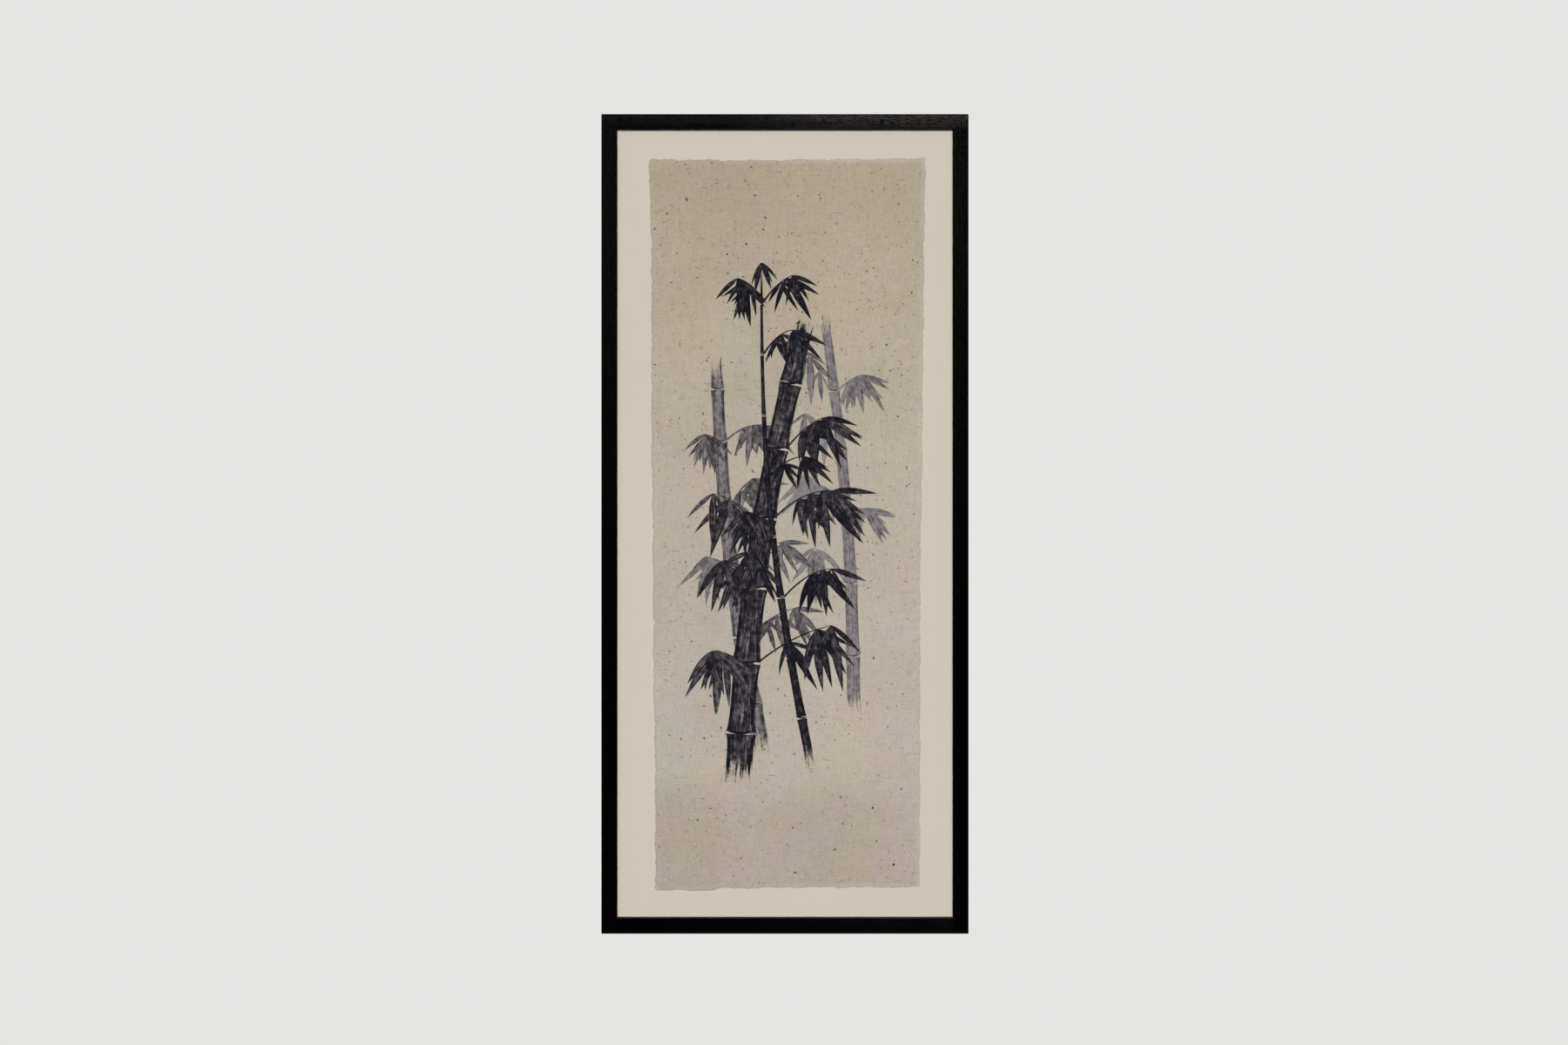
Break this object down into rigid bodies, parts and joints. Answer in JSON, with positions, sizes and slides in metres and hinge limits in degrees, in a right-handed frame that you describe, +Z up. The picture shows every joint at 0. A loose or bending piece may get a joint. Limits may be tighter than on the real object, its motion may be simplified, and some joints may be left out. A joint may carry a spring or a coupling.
{
  "type": "framed float-mounted paper print",
  "caption": "Tall slim black wood picture frame with a deckle-edged handmade paper print floated on a cream board behind clear glazing, and hanging rings at the back.",
  "frame": {"origin": "on the flat back of the top rail, at the middle of its length, where the frame rests against the wall", "axes": "+Z up, +X to the right seen from the front, +Y towards the wall, so the picture faces -Y"},
  "size_m": [0.468, 0.032, 1.045],
  "materials": {
    "black_wood": "open-grain hardwood, stained black, satin",
    "glazing": "clear, low reflection",
    "spacer": "matte black",
    "mount_board": "smooth matte cream board",
    "handmade_paper": "handmade, flecked, matte, with a printed indigo-black picture",
    "backing_board": "brown hardboard",
    "plated_steel": "bright plated steel"
  },
  "bodies": {
    "root": {"top_rail": "black_wood", "right_rail": "black_wood", "bottom_rail": "black_wood", "left_rail": "black_wood", "glazing": "glazing", "top_spacer": "spacer", "right_spacer": "spacer", "bottom_spacer": "spacer", "left_spacer": "spacer", "mount_board": "mount_board", "print_sheet": "handmade_paper", "backing_board": "backing_board", "top_tab_1": "plated_steel", "top_tab_2": "plated_steel", "top_tab_3": "plated_steel", "right_tab_1": "plated_steel", "right_tab_2": "plated_steel", "right_tab_3": "plated_steel", "right_tab_4": "plated_steel", "right_tab_5": "plated_steel", "bottom_tab_1": "plated_steel", "bottom_tab_2": "plated_steel", "bottom_tab_3": "plated_steel", "left_tab_1": "plated_steel", "left_tab_2": "plated_steel", "left_tab_3": "plated_steel", "left_tab_4": "plated_steel", "left_tab_5": "plated_steel", "left_hanger_strap": "plated_steel", "left_hanger_ring": "plated_steel", "left_hanger_screw": "plated_steel", "right_hanger_strap": "plated_steel", "right_hanger_ring": "plated_steel", "right_hanger_screw": "plated_steel"}
  },
  "joints": []
}
